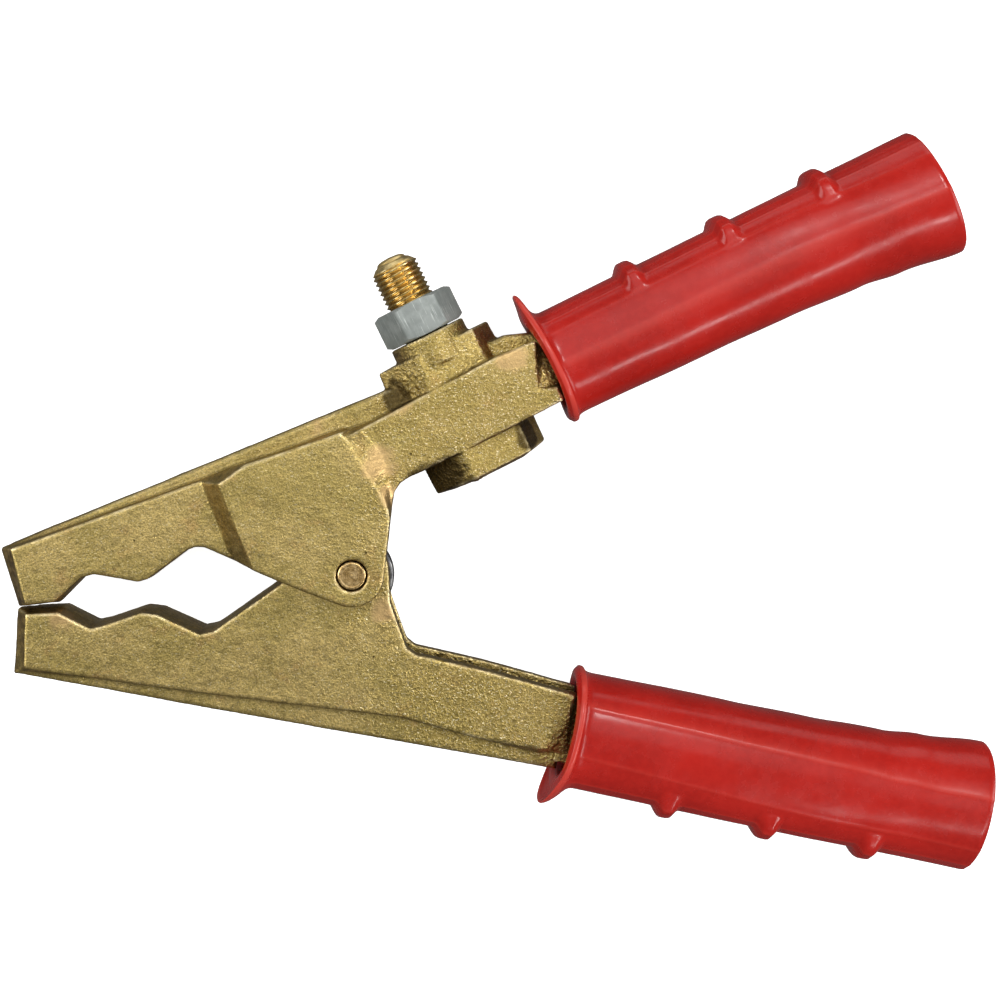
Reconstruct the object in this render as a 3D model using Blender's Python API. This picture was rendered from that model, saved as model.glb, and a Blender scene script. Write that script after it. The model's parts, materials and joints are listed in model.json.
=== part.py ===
"""Spring-loaded brass ground clamp, lying on its side.

+Z is up and runs along the pivot pin, +X runs from the jaws to the handles, and the two levers open
in the XY plane. All sizes below are in millimetres and are turned into metres by MM.
Each lever is drawn about the pivot. Each handle sleeve, and the cable stud, has an axis of its own.
"""

import math

import bmesh
import bpy
from mathutils import Matrix, Vector

MM = 0.001
GAP = 0.3  # between pieces that touch on the real clamp

# Where the pivot pin's middle stands: this centres the clamp's footprint on the origin.
PIVOT_X, PIVOT_Y, PIVOT_Z = -36.07, -15.27, 14.3

# Half thicknesses of the castings, measured from the middle plane along the pivot.
JAW_HALF = 7.0
CHEEK_HALF = 12.5
BAR_HALF = 9.9
BAR_END_HALF = 7.4  # where the upper bar meets its sleeve
TANG_HALF = 5.5
TANG_CHANNEL_HALF = 3.0
BAR_CHANNEL_HALF = 7.2
UPPER_RIB_HALF = 4.0  # stiffening rib along each lever's outer edge
LOWER_RIB_HALF = 3.2
PARTING_HALF = 1.5
PARTING_STEP = 0.4  # how far the middle plane's outline stands out past the side faces
INNER_CHEEK_SPACE = 3.7  # half of the space between the lower lever's cheeks
UPPER_POCKET_HALF = JAW_HALF + GAP

# Pivot
PIN_RADIUS = 3.4
PIN_HOLE_RADIUS = 3.75
LOWER_EAR_RADIUS = 8.8
UPPER_EAR_RADIUS = 7.75

# Torsion spring
WIRE_RADIUS = 1.0
COIL_RADIUS = 9.6
COIL_PITCH = 2.1
COIL_X, COIL_Y = -0.4, -1.6  # the coil hangs a little off the pin's middle
UPPER_LEG_START = 150.0  # degrees round the pin
COIL_SWEEP = 800.0

# Cable stud: its axis is square to the upper handle and stands on the seat.
HANDLE_TILT = 26.1
SEAT_X, SEAT_Y = 18.1, 57.5
SEAT_RADIUS, SEAT_HEIGHT = 9.6, 3.4
BOSS_RADIUS, BOSS_HEIGHT = 15.8, 32.8
BOSS_BULGE = 1.1  # how far the middle of the boss's rounded underside hangs
BOSS_FLATTEN, BOSS_TURN = 0.65, 12.0
STUD_RADIUS, THREAD_DEPTH, THREAD_PITCH = 6.0, 0.65, 1.25
STUD_ABOVE_SEAT, STUD_BELOW_SEAT = 21.0, 30.0
STUD_TIP, THREAD_LENGTH = 3.2, 28.0
NUT_ACROSS_FLATS, NUT_HEIGHT, NUT_TURN = 18.0, 8.6, 4.2

# Handle sleeves. A sleeve's own axes: +X along its outer edge from the mouth, +Y outward, +Z the pivot's.
UPPER_GRIP_X, UPPER_GRIP_Y = 41.1, 60.7
LOWER_GRIP_X, LOWER_GRIP_Y, LOWER_GRIP_TILT = 48.6, -53.5, -12.6
UPPER_LIP_REACH, LOWER_LIP_REACH = 5.2, 4.2  # extra height of each mouth's lip on the outer side
UPPER_LIP_LEAN, LOWER_LIP_LEAN = -1.0, 2.0  # how far that lip curls to the jaws
UPPER_WIDENING, LOWER_WIDENING = 0.0, 1.6  # stretch of each sleeve's mouth over its tang
GRIP_LENGTH, GRIP_WALL = 105.2, 2.3
MOUTH_BOW, MOUTH_BOW_LENGTH = 1.2, 12.0  # how far each mouth is set back on its two flat sides
GRIP_RING_POINTS = 36
BUMP_PLACES = (28.4, 53.6, 79.3)
BUMP_HEIGHT, BUMP_HALF_LENGTH = 2.3, 3.4
TANG_LENGTH = 41.0


def clear_scene():
    for item in list(bpy.data.objects):
        bpy.data.objects.remove(item, do_unlink=True)


def make_material(name, colour, metallic, roughness):
    material = bpy.data.materials.new(name)
    material.use_nodes = True
    shader = material.node_tree.nodes["Principled BSDF"]
    shader.inputs["Base Color"].default_value = (*colour, 1.0)
    shader.inputs["Metallic"].default_value = metallic
    shader.inputs["Roughness"].default_value = roughness
    material.diffuse_color = (*colour, 1.0)
    return material


def make_empty(name, location, turn_z=0.0, parent=None):
    empty = bpy.data.objects.new(name, None)
    bpy.context.scene.collection.objects.link(empty)
    empty.location = [value * MM for value in location]
    empty.rotation_euler = (0.0, 0.0, math.radians(turn_z))
    empty.parent = parent
    return empty


def make_object(name, mesh_builder, parent, material=None, smooth_angle=None):
    """An object whose bmesh, in millimetres, is filled by mesh_builder."""
    bm = bmesh.new()
    mesh_builder(bm)
    bmesh.ops.recalc_face_normals(bm, faces=bm.faces)
    bmesh.ops.scale(bm, vec=(MM, MM, MM), verts=bm.verts)
    mesh = bpy.data.meshes.new(name)
    bm.to_mesh(mesh)
    bm.free()
    item = bpy.data.objects.new(name, mesh)
    bpy.context.scene.collection.objects.link(item)
    item.parent = parent
    if material:
        mesh.materials.append(material)
    if smooth_angle:
        mesh.shade_smooth()
        mesh.set_sharp_from_angle(angle=math.radians(smooth_angle))
    return item


def make_cutter(name, mesh_builder, parent):
    item = make_object(name, mesh_builder, parent)
    item.hide_render = True
    item.display_type = "WIRE"
    return item


def combine(target, other, operation):
    modifier = target.modifiers.new(other.name, "BOOLEAN")
    modifier.operation = operation
    modifier.solver = "EXACT"
    modifier.object = other


# Outlines and the solids made from them


def arc(radius, start, end, steps, centre=(0.0, 0.0)):
    """Points from start to end, in degrees, both ends included."""
    angles = [math.radians(start + (end - start) * i / steps) for i in range(steps + 1)]
    return [(centre[0] + radius * math.cos(a), centre[1] + radius * math.sin(a)) for a in angles]


def grown(outline, distance):
    """The counter-clockwise outline moved outward by distance, with mitred corners."""
    result = []
    for i, point in enumerate(outline):
        here = Vector(point)
        before = (here - Vector(outline[i - 1])).normalized()
        after = (Vector(outline[(i + 1) % len(outline)]) - here).normalized()
        normals = Vector((before.y, -before.x)), Vector((after.y, -after.x))
        mitre = (normals[0] + normals[1]).normalized()
        reach = distance / max(mitre.dot(normals[0]), 0.5)
        result.append(tuple(here + mitre * reach))
    return result


def replaced(outline, changes):
    """The outline with some of its points, given by index, put elsewhere."""
    result = list(outline)
    for index, point in changes.items():
        result[index] = point
    return result


def layered_prism(levels):
    """A builder that joins outlines of equal length, each at its own height, into one closed solid."""

    def build(bm):
        rings = [[bm.verts.new((x, y, z)) for x, y in outline] for z, outline in levels]
        count = len(rings[0])
        for low, high in zip(rings, rings[1:]):
            for i in range(count):
                j = (i + 1) % count
                bm.faces.new((low[i], low[j], high[j], high[i]))
        bm.faces.new(reversed(rings[0]))
        bm.faces.new(rings[-1])
        bmesh.ops.triangulate(bm, faces=bm.faces)

    return build


def mirrored_layers(*half):
    """Layers given from the middle plane up, repeated below it."""
    return [(-z, outline) for z, outline in reversed(half)] + list(half)


def cylinder(radius, low, high, points=40):
    circle = arc(radius, 0.0, 360.0 * (points - 1) / points, points - 1)
    return layered_prism([(low, circle), (high, circle)])


def ring_tube(rings, bm):
    """Faces between closed rings of equal length, the last ring joined back to the first."""
    loops = [[bm.verts.new(point) for point in ring] for ring in rings]
    count = len(loops[0])
    for a, b in zip(loops, loops[1:] + loops[:1]):
        for i in range(count):
            j = (i + 1) % count
            bm.faces.new((a[i], a[j], b[j], b[i]))


def turned(profile, points):
    """A builder that turns a profile of (radius, height), closed on the axis at both ends, about Z."""

    def build(bm):
        rings = []
        for radius, height in profile[1:-1]:
            circle = arc(radius, 0.0, 360.0 * (points - 1) / points, points - 1)
            rings.append([bm.verts.new((x, y, height)) for x, y in circle])
        for low, high in zip(rings, rings[1:]):
            for i in range(points):
                j = (i + 1) % points
                bm.faces.new((low[i], low[j], high[j], high[i]))
        first = bm.verts.new((0.0, 0.0, profile[0][1]))
        last = bm.verts.new((0.0, 0.0, profile[-1][1]))
        for i in range(points):
            j = (i + 1) % points
            bm.faces.new((first, rings[0][j], rings[0][i]))
            bm.faces.new((last, rings[-1][i], rings[-1][j]))

    return build


def line_y(start, end, x):
    """The height at x of the straight line through two points."""
    share = (x - start[0]) / (end[0] - start[0])
    return start[1] + share * (end[1] - start[1])


# The upper lever

UPPER_RIDGE = ((-84.5, 6.7), (-1.5, 34.8))
UPPER_SPINE = ((-84.4, 6.1), (6.6, 43.4))
BAR_RIDGE = ((2.6, 35.3), (34.4, 52.2))
BAR_SPINE = ((6.6, 43.4), (37.0, 57.4))


def upper_rib(bm):
    """The stiffening rib that stands out past the ridge, from the jaw's tip to the sleeve."""
    outline = [
        (-70.0, 6.0), (-4.0, 28.0), (8.0, 33.0), (38.0, 48.0), (46.0, 52.0), (48.0, 58.4), (41.5, 57.9),
        BAR_SPINE[1], BAR_SPINE[0], (-40.0, line_y(*UPPER_SPINE, -40.0)), (-84.0, 6.4),
    ]
    inner = UPPER_RIB_HALF - 0.6
    layered_prism(mirrored_layers((inner, outline), (UPPER_RIB_HALF, grown(outline, -0.6))))(bm)


def upper_jaw(bm):
    gripping = [
        (-79.0, -7.6), (-72.0, -6.9), (-65.5, -1.0), (-62.6, -0.2), (-51.9, -2.2), (-49.6, -1.5),
        (-40.3, 5.4), (-38.2, 6.3), (-35.8, 6.2), (-22.9, 0.5), (-17.3, -1.5), (-9.0, 4.0),
    ]
    side = gripping + [(-2.0, line_y(*UPPER_RIDGE, -2.0)), (-82.3, 6.0)]
    middle = replaced(grown(side, PARTING_STEP), {0: (-81.9, -8.9), 1: (-71.8, -7.9), len(side) - 1: (-86.2, 5.5)})
    layered_prism(mirrored_layers((PARTING_HALF, middle), (JAW_HALF, side)))(bm)


def finer(points, steps):
    """The open outline with each of its edges cut into equal steps."""
    result = [points[0]]
    for start, end in zip(points, points[1:]):
        for i in range(1, steps + 1):
            result.append(tuple(Vector(start).lerp(Vector(end), i / steps)))
    return result


def upper_cheeks(bm):
    """Raised cheeks whose back edges run down to the handle bar in a smooth bevel."""
    ear = arc(UPPER_EAR_RADIUS, -110.5, -3.0, 8)
    front = [(-23.0, 1.0), (-17.3, -1.5)]
    back = finer([(9.3, 13.6), (8.9, 15.4), (7.1, 19.4), (4.5, 23.5), (2.3, 27.0), (0.4, 30.0), (-1.5, 33.1)], 3)
    top = [(x, line_y(*UPPER_RIDGE, x)) for x in (-2.6, -25.0)]
    raised = front + ear + back + top + [(-31.5, 22.2)]
    foot_front = [(-30.2, 3.8), (-17.3, -1.5)]
    foot_back = finer([(9.4, 13.9), (10.2, 19.4), (12.6, 24.6), (13.4, 28.6), (12.8, 32.6), (10.4, 35.6),
                       (6.9, 37.3)], 3)
    foot_top = [(2.0, 35.4), (-30.0, line_y(*UPPER_RIDGE, -30.0))]
    foot = foot_front + ear + foot_back + foot_top + [(-37.1, 22.2)]
    layered_prism(mirrored_layers((JAW_HALF - 0.6, foot), (CHEEK_HALF, raised)))(bm)


def upper_bar(bm):
    """The handle bar. It slopes down into the sleeve's mouth, beside a small level tab at its inner edge."""
    side = [
        (-4.0, 3.0), (8.7, 10.0), (10.2, 19.7), (11.6, 22.0), (13.8, 23.4), (17.3, 25.0), (41.4, 37.0),
        (50.9, 41.9), (49.2, 45.3), (44.6, 44.1), (43.9, 56.3), BAR_RIDGE[1], (2.6, 35.3), (-6.0, 31.0),
    ]
    inner = replaced(side, {7: (51.3, 42.1), 8: (50.3, 45.6), 9: (51.4, 48.0), 10: (46.0, 55.2)})
    layered_prism(mirrored_layers((BAR_END_HALF, inner), (BAR_HALF, side)))(bm)


def upper_pocket(bm):
    """The room between the upper cheeks for the lower lever's cheeks and the spring."""
    outline = [
        (-19.6, -16.0), (16.0, -16.0), (16.0, 20.0), (17.0, 30.0), (12.0, 35.0), (4.0, 32.6),
        (-6.0, 28.5), (-14.0, 20.0), (-19.6, 6.0),
    ]
    layered_prism([(-UPPER_POCKET_HALF, outline), (UPPER_POCKET_HALF, outline)])(bm)


def upper_channel(bm):
    """The channel along the handle bar, open towards the other handle."""
    outline = [
        (9.0, 10.0), (44.0, 20.0), (60.0, 40.0), (48.0, 52.6), (40.0, 50.3), (10.0, 35.6), (4.0, 30.0),
    ]
    layered_prism([(-BAR_CHANNEL_HALF, outline), (BAR_CHANNEL_HALF, outline)])(bm)


def grip_outline(points, tilt, origin, outward):
    """Points given along and outward of a handle sleeve's outer edge, put in the pivot's frame."""
    along = Vector((math.cos(math.radians(tilt)), math.sin(math.radians(tilt))))
    across = Vector((-along.y, along.x)) * outward
    return [tuple(Vector(origin) + along * a + across * b) for a, b in points]


def tang_outline(tilt, origin, outward):
    corners = [(-1.0, -20.6), (TANG_LENGTH, -19.6), (TANG_LENGTH, -6.6), (-1.0, -6.2)]
    outline = grip_outline(corners, tilt, origin, outward)
    return outline if outward > 0 else outline[::-1]


def upper_tang(bm):
    outline = tang_outline(HANDLE_TILT, (UPPER_GRIP_X, UPPER_GRIP_Y), 1.0)
    layered_prism([(-TANG_HALF, outline), (TANG_HALF, outline)])(bm)


def upper_tang_channel(bm):
    corners = [(-10.0, -40.0), (TANG_LENGTH + 5.0, -40.0), (TANG_LENGTH + 5.0, -9.5), (-10.0, -9.5)]
    outline = grip_outline(corners, HANDLE_TILT, (UPPER_GRIP_X, UPPER_GRIP_Y), 1.0)
    layered_prism([(-TANG_CHANNEL_HALF, outline), (TANG_CHANNEL_HALF, outline)])(bm)


def stud_boss(bm):
    """Six-sided boss, flattened front to back and turned a little on the stud's axis."""
    corners = []
    for i in range(6):
        turn = math.radians(60.0 * i + BOSS_TURN)
        corners.append((BOSS_RADIUS * math.cos(turn), BOSS_FLATTEN * BOSS_RADIUS * math.sin(turn)))
    top = -SEAT_HEIGHT
    low = top - BOSS_HEIGHT
    layered_prism([(low - BOSS_BULGE, grown(corners, -7.0)), (low - 0.75 * BOSS_BULGE, grown(corners, -3.5)),
                   (low, grown(corners, -0.4)), (top - 0.5 * BOSS_HEIGHT, corners), (top, grown(corners, -0.4))])(bm)


def stud_seat(bm):
    cylinder(SEAT_RADIUS, -SEAT_HEIGHT - 4.0, 0.0)(bm)


def stud_hole(bm):
    cylinder(STUD_RADIUS + GAP, -STUD_BELOW_SEAT - GAP, 10.0, 28)(bm)


def pin_hole(bm):
    cylinder(PIN_HOLE_RADIUS, -30.0, 30.0, 32)(bm)


def build_upper_lever(pivot, stud_axis, brass):
    lever = make_object("upper_lever", upper_jaw, pivot, brass)
    for name, builder in (("cheeks", upper_cheeks), ("bar", upper_bar), ("rib", upper_rib)):
        combine(lever, make_cutter(f"upper_{name}", builder, pivot), "UNION")
    for name, builder in (("pocket", upper_pocket), ("channel", upper_channel)):
        combine(lever, make_cutter(f"upper_{name}", builder, pivot), "DIFFERENCE")
    combine(lever, make_cutter("upper_tang", upper_tang, pivot), "UNION")
    combine(lever, make_cutter("upper_tang_channel", upper_tang_channel, pivot), "DIFFERENCE")
    for name, builder in (("stud_boss", stud_boss), ("stud_seat", stud_seat)):
        combine(lever, make_cutter(name, builder, stud_axis), "UNION")
    combine(lever, make_cutter("stud_hole", stud_hole, stud_axis), "DIFFERENCE")
    combine(lever, make_cutter("upper_pin_hole", pin_hole, pivot), "DIFFERENCE")
    return lever


# The lower lever

LOWER_SPINE = ((-83.2, -25.0), (50.0, -50.0))


def lower_body(bm):
    gripping = [
        (9.1, -7.4), *arc(LOWER_EAR_RADIUS, 0.0, 140.0, 12), (-17.7, -3.0), (-33.8, -14.3),
        (-37.1, -15.0), (-47.4, -10.1), (-51.3, -9.7), (-60.3, -12.8), (-63.6, -13.5), (-71.3, -9.5),
        (-79.3, -9.9),
    ]
    edge = [(-79.8, -23.3), (-38.5, -29.3), (-12.3, -32.7), (11.7, -35.8), (27.6, -40.3), (45.4, -45.0)]
    bar = [(52.3, -44.8), (55.2, -30.8), (42.3, -27.1), (31.5, -24.1), (19.0, -21.1), (15.2, -20.3), (13.0, -18.5)]
    side = gripping + edge + bar
    tip = len(gripping)
    middle = replaced(grown(side, PARTING_STEP), {
        tip - 2: (-71.1, -8.9),
        tip - 1: (-82.2, -9.4),
        tip: (-83.4, -25.5),
    })
    bevel = tip + len(edge)
    beveled = replaced(side, {bevel - 1: (45.9, -43.7), bevel: (52.9, -36.0), bevel + 1: (54.4, -30.6)})
    layered_prism(mirrored_layers((PARTING_HALF, middle), (JAW_HALF - 1.5, side), (JAW_HALF, beveled)))(bm)


def lower_rib(bm):
    """The stiffening rib along the lower lever's outer edge."""
    outline = [
        (-83.2, line_y(*LOWER_SPINE, -83.2)), (-40.0, line_y(*LOWER_SPINE, -40.0) - 0.3),
        (10.0, line_y(*LOWER_SPINE, 10.0) - 0.2), (50.0, line_y(*LOWER_SPINE, 50.0)), (51.5, -42.0),
        (10.0, -32.0), (-60.0, -22.0),
    ]
    inner = LOWER_RIB_HALF - 0.6
    layered_prism(mirrored_layers((inner, outline), (LOWER_RIB_HALF, grown(outline, -0.6))))(bm)


def lower_channel(bm):
    """The room between the lower cheeks and along the bar, open towards the other handle."""
    outline = [
        (-14.0, 20.0), (-14.0, -10.0), (-8.0, -25.0), (0.0, -31.0), (30.0, -38.0), (60.0, -45.0),
        (80.0, -30.0), (60.0, 20.0),
    ]
    layered_prism([(-INNER_CHEEK_SPACE, outline), (INNER_CHEEK_SPACE, outline)])(bm)


def lower_tang(bm):
    outline = tang_outline(LOWER_GRIP_TILT, (LOWER_GRIP_X, LOWER_GRIP_Y), -1.0)
    layered_prism([(-TANG_HALF, outline), (TANG_HALF, outline)])(bm)


def lower_tang_channel(bm):
    corners = [(-3.0, -40.0), (TANG_LENGTH + 5.0, -40.0), (TANG_LENGTH + 5.0, -9.5), (-3.0, -9.5)]
    outline = grip_outline(corners, LOWER_GRIP_TILT, (LOWER_GRIP_X, LOWER_GRIP_Y), -1.0)
    layered_prism([(-TANG_CHANNEL_HALF, outline), (TANG_CHANNEL_HALF, outline)])(bm)


def build_lower_lever(pivot, brass):
    lever = make_object("lower_lever", lower_body, pivot, brass)
    combine(lever, make_cutter("lower_rib", lower_rib, pivot), "UNION")
    combine(lever, make_cutter("lower_channel", lower_channel, pivot), "DIFFERENCE")
    combine(lever, make_cutter("lower_tang", lower_tang, pivot), "UNION")
    combine(lever, make_cutter("lower_tang_channel", lower_tang_channel, pivot), "DIFFERENCE")
    combine(lever, make_cutter("lower_pin_hole", pin_hole, pivot), "DIFFERENCE")
    return lever


# Pivot pin and spring


def build_rivet(pivot, copper):
    end = CHEEK_HALF - 0.1
    profile = [(0.0, -end), (PIN_RADIUS - 0.5, -end), (PIN_RADIUS, -end + 0.5),
               (PIN_RADIUS, end - 0.5), (PIN_RADIUS - 0.5, end), (0.0, end)]
    return make_object("pivot_rivet", turned(profile, 32), pivot, copper, smooth_angle=30)


def spring_route():
    """The wire's middle line: upper leg, coil, lower leg."""
    turns = COIL_SWEEP / 360.0
    top = 0.5 * COIL_PITCH * turns
    start = math.radians(UPPER_LEG_START)
    points = [(6.4, 30.6, top), (1.5, 20.5, top), (-5.2, 9.6, top)]
    steps = 56
    for i in range(steps + 1):
        share = i / steps
        angle = start + math.radians(COIL_SWEEP) * share
        points.append((COIL_X + COIL_RADIUS * math.cos(angle), COIL_Y + COIL_RADIUS * math.sin(angle),
                       top * (1.0 - 2.0 * share)))
    points += [(4.0, -18.7, -top), (18.0, -28.4, -top), (31.0, -35.4, -top)]
    return points


def build_spring(pivot, steel):
    curve = bpy.data.curves.new("torsion_spring", "CURVE")
    curve.dimensions = "3D"
    curve.bevel_depth = WIRE_RADIUS * MM
    curve.bevel_resolution = 2
    curve.use_fill_caps = True
    route = spring_route()
    spline = curve.splines.new("POLY")
    spline.points.add(len(route) - 1)
    for target, point in zip(spline.points, route):
        target.co = (*(value * MM for value in point), 1.0)
    curve.materials.append(steel)
    spring = bpy.data.objects.new("torsion_spring", curve)
    bpy.context.scene.collection.objects.link(spring)
    spring.parent = pivot
    return spring


# Cable stud and nut


def build_stud(stud_axis, turned_brass):
    root = STUD_RADIUS - THREAD_DEPTH
    top = STUD_ABOVE_SEAT
    profile = [(0.0, -STUD_BELOW_SEAT), (root, -STUD_BELOW_SEAT)]
    crest = top - STUD_TIP - THREAD_LENGTH
    while crest < top - STUD_TIP + 0.01:
        profile += [(root, crest - 0.5 * THREAD_PITCH), (STUD_RADIUS, crest)]
        crest += THREAD_PITCH
    last = crest - THREAD_PITCH
    profile += [(4.4, last + 1.5), (3.8, last + 1.8), (3.5, top - 0.5), (2.2, top - 0.1), (0.0, top)]
    return make_object("cable_stud", turned(profile, 28), stud_axis, turned_brass, smooth_angle=20)


def hexagon(across_flats, turn=0.0):
    radius = across_flats / math.sqrt(3.0)
    return [(radius * math.cos(math.radians(60 * i + turn)), radius * math.sin(math.radians(60 * i + turn)))
            for i in range(6)]


def nut_blank(bm):
    corners = hexagon(NUT_ACROSS_FLATS, NUT_TURN)
    layered_prism([(0.0, corners), (NUT_HEIGHT, corners)])(bm)


def nut_chamfers(bm):
    """Double cone whose common part with the hexagon rounds the nut's corners off."""
    flat = 0.5 * NUT_ACROSS_FLATS
    spread = 3.0
    drop = spread * math.tan(math.radians(28.0))
    turned([(0.0, 0.0), (flat - 0.1, 0.0), (flat + spread, drop), (flat + spread, NUT_HEIGHT - drop),
            (flat - 0.1, NUT_HEIGHT), (0.0, NUT_HEIGHT)], 48)(bm)


def nut_bore(bm):
    cylinder(STUD_RADIUS + GAP, -5.0, NUT_HEIGHT + 5.0, 28)(bm)


def build_nut(stud_axis, zinc):
    base = make_empty("nut_rest", (0.0, 0.0, GAP), parent=stud_axis)
    nut = make_object("stud_nut", nut_blank, base, zinc)
    combine(nut, make_cutter("nut_chamfers", nut_chamfers, base), "INTERSECT")
    combine(nut, make_cutter("nut_bore", nut_bore, base), "DIFFERENCE")
    return nut


# Handle sleeves


def grip_width(along):
    """Width of the sleeve in the clamp's plane: a waist near two thirds and a flared open end."""
    knots = [(0.0, 26.6), (41.0, 27.4), (60.0, 28.0), (79.0, 29.1), (89.0, 30.4), (GRIP_LENGTH, 32.4)]
    for (a, width_a), (b, width_b) in zip(knots, knots[1:]):
        if along <= b:
            share = (along - a) / (b - a)
            blend = share * share * (3.0 - 2.0 * share)
            return width_a + (width_b - width_a) * blend
    return knots[-1][1]


def grip_depth(along):
    return 12.6 + 1.7 * max(0.0, (along - 70.0) / (GRIP_LENGTH - 70.0)) ** 1.5


def bump_lift(along, angle):
    """Height of the three nubs on the sleeve's outer edge."""
    nearness = max(0.0, 1.0 - min(abs(along - place) for place in BUMP_PLACES) / BUMP_HALF_LENGTH)
    window = max(0.0, math.sin(angle) - 0.8) / 0.2
    return BUMP_HEIGHT * math.sin(0.5 * math.pi * nearness) * min(1.0, 1.6 * window)


def grip_ring(along, inset, sign, widening, extra=0.0, reach=0.0, lean=0.0, bumps=False):
    """One ring of the sleeve. inset shrinks it; extra, reach and lean shape the mouth's lip."""
    at = max(along, 0.0)
    half = 0.5 * (grip_width(at) + widening * (1.0 - (at / GRIP_LENGTH) ** 2))
    ring = []
    for i in range(GRIP_RING_POINTS):
        angle = 2.0 * math.pi * i / GRIP_RING_POINTS
        outer_side = max(0.0, math.sin(angle))
        lip = extra * (1.3 + reach * outer_side**3)
        lift = bump_lift(along, angle) if bumps else 0.0
        across = -half + (half - inset + lip + lift) * math.sin(angle)
        deep = (grip_depth(along) - inset + min(lip, extra * 1.6)) * math.cos(angle)
        set_back = MOUTH_BOW * math.cos(angle) ** 2 * max(0.0, 1.0 - along / MOUTH_BOW_LENGTH)
        ring.append((along - lean * outer_side**2 + set_back, sign * across, deep))
    return ring


def grip_stations():
    plain = [4.4, 10.0, 18.0, 41.0, 66.0, 72.0, 88.0, 94.0, 100.0, GRIP_LENGTH]
    steps = (-BUMP_HALF_LENGTH, -2.2, -1.1, 0.0, 1.1, 2.2, BUMP_HALF_LENGTH)
    nubs = [place + step for place in BUMP_PLACES for step in steps]
    return sorted(plain + nubs)


def grip_builder(sign, widening, reach, lean):
    def build(bm):
        outside = [grip_ring(at, 0.0, sign, widening, bumps=True) for at in reversed(grip_stations())]
        lip_steps = ((3.2, 0.2, 0.0), (2.4, 0.55, 0.5), (1.8, 0.95, 1.0), (0.3, 1.0, 1.0), (0.0, 0.4, 0.4))
        lip = [grip_ring(at, 0.0, sign, widening, extra, reach, lean * share) for at, extra, share in lip_steps]
        mouth = [grip_ring(0.2, 1.2, sign, widening)]
        inner_stations = (1.6, 18.0, 41.0, 66.0, 82.0, 94.0, GRIP_LENGTH)
        inside = [grip_ring(at, GRIP_WALL, sign, widening) for at in inner_stations]
        ring_tube(outside + lip + mouth + inside, bm)

    return build


def build_grip(name, origin, tilt, shape, pivot, red):
    axis = make_empty(f"{name}_axis", (*origin, 0.0), tilt, pivot)
    return make_object(name, grip_builder(*shape), axis, red, smooth_angle=40)


def main():
    clear_scene()
    brass = make_material("cast_brass", (0.42, 0.31, 0.11), 1.0, 0.45)
    turned_brass = make_material("turned_brass", (0.60, 0.38, 0.12), 1.0, 0.25)
    copper = make_material("rivet_copper", (0.45, 0.24, 0.13), 1.0, 0.3)
    zinc = make_material("zinc_plate", (0.52, 0.56, 0.58), 1.0, 0.35)
    steel = make_material("spring_steel", (0.05, 0.05, 0.06), 1.0, 0.4)
    red = make_material("red_vinyl", (0.55, 0.02, 0.02), 0.0, 0.25)

    pivot = make_empty("pivot", (PIVOT_X, PIVOT_Y, PIVOT_Z))
    stud_axis = make_empty("stud_axis", (SEAT_X, SEAT_Y, 0.0), parent=pivot)
    # Local X runs along the handle, local Y along the pivot and local Z up the stud.
    along = Vector((math.cos(math.radians(HANDLE_TILT)), math.sin(math.radians(HANDLE_TILT)), 0.0))
    up_stud = Vector((-along.y, along.x, 0.0))
    stud_axis.rotation_euler = Matrix((along, up_stud.cross(along), up_stud)).transposed().to_euler()

    build_upper_lever(pivot, stud_axis, brass)
    build_lower_lever(pivot, brass)
    build_rivet(pivot, copper)
    build_spring(pivot, steel)
    build_stud(stud_axis, turned_brass)
    build_nut(stud_axis, zinc)
    upper_shape = (1.0, UPPER_WIDENING, UPPER_LIP_REACH, UPPER_LIP_LEAN)
    lower_shape = (-1.0, LOWER_WIDENING, LOWER_LIP_REACH, LOWER_LIP_LEAN)
    build_grip("upper_grip", (UPPER_GRIP_X, UPPER_GRIP_Y), HANDLE_TILT, upper_shape, pivot, red)
    build_grip("lower_grip", (LOWER_GRIP_X, LOWER_GRIP_Y), LOWER_GRIP_TILT, lower_shape, pivot, red)


main()
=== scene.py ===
"""Looks for the brass ground clamp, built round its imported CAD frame.

Lengths are millimetres, turned into metres by MM. The floor and the lights are in metres.
"""

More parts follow.
